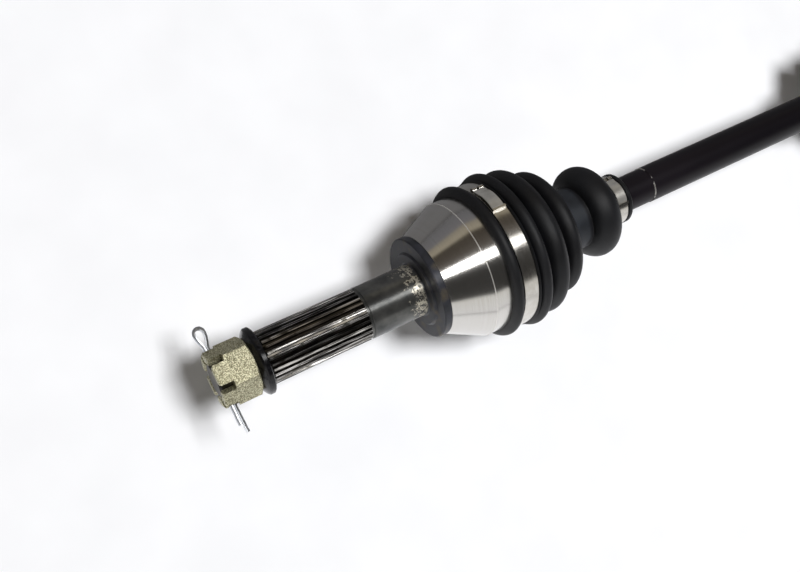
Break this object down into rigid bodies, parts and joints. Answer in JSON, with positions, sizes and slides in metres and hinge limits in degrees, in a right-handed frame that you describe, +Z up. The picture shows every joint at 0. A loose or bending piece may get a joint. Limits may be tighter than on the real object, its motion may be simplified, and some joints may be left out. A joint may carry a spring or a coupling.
{
  "type": "cv axle",
  "caption": "Drive half-shaft with a splined, threaded wheel-end stub, a booted ball joint, a bare bar, a booted plunging tripod joint and a splined gearbox stub.",
  "frame": {"origin": "on the axle's axis where the wheel bearing's seat ends at the shoulder's root", "axes": "+X runs along the axle from the wheel to the gearbox, +Z is up, +Y completes the right-handed frame"},
  "size_m": [0.6364, 0.0864, 0.0864],
  "materials": {
    "forged_steel": "turned and ground forging",
    "bearing_steel": "ground bearing steel",
    "spring_steel": "hardened spring steel",
    "stainless_band": "stamped stainless band",
    "boot_rubber": "satin moulded rubber",
    "yellow_zinc": "yellow-passivated zinc plate",
    "bright_zinc": "bright zinc plate",
    "black_oxide": "black oxide, oiled",
    "black_paint": "gloss black paint"
  },
  "bodies": {
    "axle_shaft": {"axle_shaft": "black_paint", "outer_inner_race": "bearing_steel", "outer_race_clip": "spring_steel", "tripod_spider": "bearing_steel", "spider_clip": "spring_steel", "outer_small_clamp": "stainless_band", "inner_small_clamp": "stainless_band", "roller_needles_1": "bearing_steel", "roller_needles_2": "bearing_steel", "roller_needles_3": "bearing_steel", "roller_retainer_1": "spring_steel", "roller_retainer_2": "spring_steel", "roller_retainer_3": "spring_steel"},
    "outer_boot": {"outer_boot": "boot_rubber"},
    "outer_housing": {"outer_housing": "forged_steel", "slotted_nut": "yellow_zinc", "conical_washer": "black_oxide", "cotter_pin": "bright_zinc", "outer_large_clamp": "stainless_band"},
    "pole_balls": {"outer_ball_1": "bearing_steel", "outer_ball_4": "bearing_steel"},
    "ball_cage": {"outer_cage": "forged_steel", "outer_ball_2": "bearing_steel", "outer_ball_3": "bearing_steel", "outer_ball_5": "bearing_steel", "outer_ball_6": "bearing_steel"},
    "inner_boot_neck": {"inner_boot_neck": "boot_rubber"},
    "inner_boot_bellows": {"inner_boot_bellows": "boot_rubber"},
    "inner_housing": {"inner_housing": "forged_steel", "housing_stop_ring": "spring_steel", "gearbox_clip": "spring_steel", "inner_large_clamp": "stainless_band"},
    "roller_1": {"inner_roller_1": "bearing_steel"},
    "roller_2": {"inner_roller_2": "bearing_steel"},
    "roller_3": {"inner_roller_3": "bearing_steel"}
  },
  "joints": [
    {"name": "outer_bend_pitch", "type": "hinge", "parent": "axle_shaft", "child": "outer_boot", "pos_m": [0.03, 0, 0], "axis": [0, 1, 0], "range_deg": [-22, 22], "deforming": ["outer_boot"]},
    {"name": "outer_bend_yaw", "type": "hinge", "parent": "outer_boot", "child": "outer_housing", "pos_m": [0.03, 0, 0], "axis": [0, 0, 1], "range_deg": [-22, 22]},
    {"name": "outer_cage_pitch", "type": "hinge", "parent": "axle_shaft", "child": "pole_balls", "pos_m": [0.03, 0, 0], "axis": [0, 1, 0], "range_deg": [-11, 11]},
    {"name": "outer_cage_yaw", "type": "hinge", "parent": "pole_balls", "child": "ball_cage", "pos_m": [0.03, 0, 0], "axis": [0, 0, 1], "range_deg": [-11, 11]},
    {"name": "inner_bend_pitch", "type": "hinge", "parent": "axle_shaft", "child": "inner_boot_neck", "pos_m": [0.425, 0, 0], "axis": [0, 1, 0], "range_deg": [-12, 12], "deforming": ["inner_boot_neck"]},
    {"name": "inner_bend_yaw", "type": "hinge", "parent": "inner_boot_neck", "child": "inner_boot_bellows", "pos_m": [0.425, 0, 0], "axis": [0, 0, 1], "range_deg": [-12, 12], "deforming": ["inner_boot_bellows"]},
    {"name": "inner_plunge", "type": "slide", "parent": "inner_boot_bellows", "child": "inner_housing", "axis": [1, 0, 0], "range_m": [-0.01, 0.01]},
    {"name": "roller_1_spin", "type": "hinge", "parent": "axle_shaft", "child": "roller_1", "pos_m": [0.425, 0, 0], "axis": [0, 0, 1], "range_deg": [-45.85, 45.85]},
    {"name": "roller_2_spin", "type": "hinge", "parent": "axle_shaft", "child": "roller_2", "pos_m": [0.425, 0, 0], "axis": [0, -0.866, -0.5], "range_deg": [-45.85, 45.85]},
    {"name": "roller_3_spin", "type": "hinge", "parent": "axle_shaft", "child": "roller_3", "pos_m": [0.425, 0, 0], "axis": [0, 0.866, -0.5], "range_deg": [-45.85, 45.85]}
  ],
  "couplings": [
    {"joint": "outer_cage_pitch", "follows": "outer_bend_pitch", "ratio": 0.5},
    {"joint": "outer_cage_yaw", "follows": "outer_bend_yaw", "ratio": 0.5},
    {"joint": "roller_1_spin", "follows": "inner_plunge", "rad_per_m": 80},
    {"joint": "roller_2_spin", "follows": "inner_plunge", "rad_per_m": 80},
    {"joint": "roller_3_spin", "follows": "inner_plunge", "rad_per_m": 80}
  ]
}
